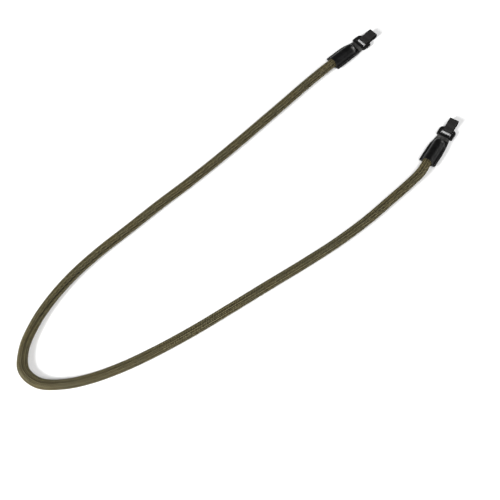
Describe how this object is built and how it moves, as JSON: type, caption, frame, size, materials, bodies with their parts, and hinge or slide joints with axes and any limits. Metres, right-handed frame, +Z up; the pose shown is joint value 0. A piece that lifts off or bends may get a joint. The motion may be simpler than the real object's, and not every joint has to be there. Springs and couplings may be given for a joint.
{
  "type": "camera neck strap",
  "caption": "Round braided rope strap laid in a U, with sewn leather sleeves, flat plastic buckles and tape loops that fasten to a camera's lugs.",
  "frame": {"origin": "on the table under the middle of the lying strap's box", "axes": "+Z up from the table, +Y the way the strap's two ends point, away from the bend"},
  "size_m": [0.2152, 0.5649, 0.0128],
  "materials": {
    "braided_rope": "olive braided nylon, slightly glossy yarns",
    "black_leather": "smooth black leather with fine grain",
    "black_plastic": "satin moulded black plastic",
    "black_tape": "matt black woven tape"
  },
  "bodies": {
    "root": {"rope": "braided_rope", "left_sleeve": "black_leather", "right_sleeve": "black_leather", "left_buckle": "black_plastic", "right_buckle": "black_plastic", "left_webbing": "black_tape", "right_webbing": "black_tape"}
  },
  "joints": []
}
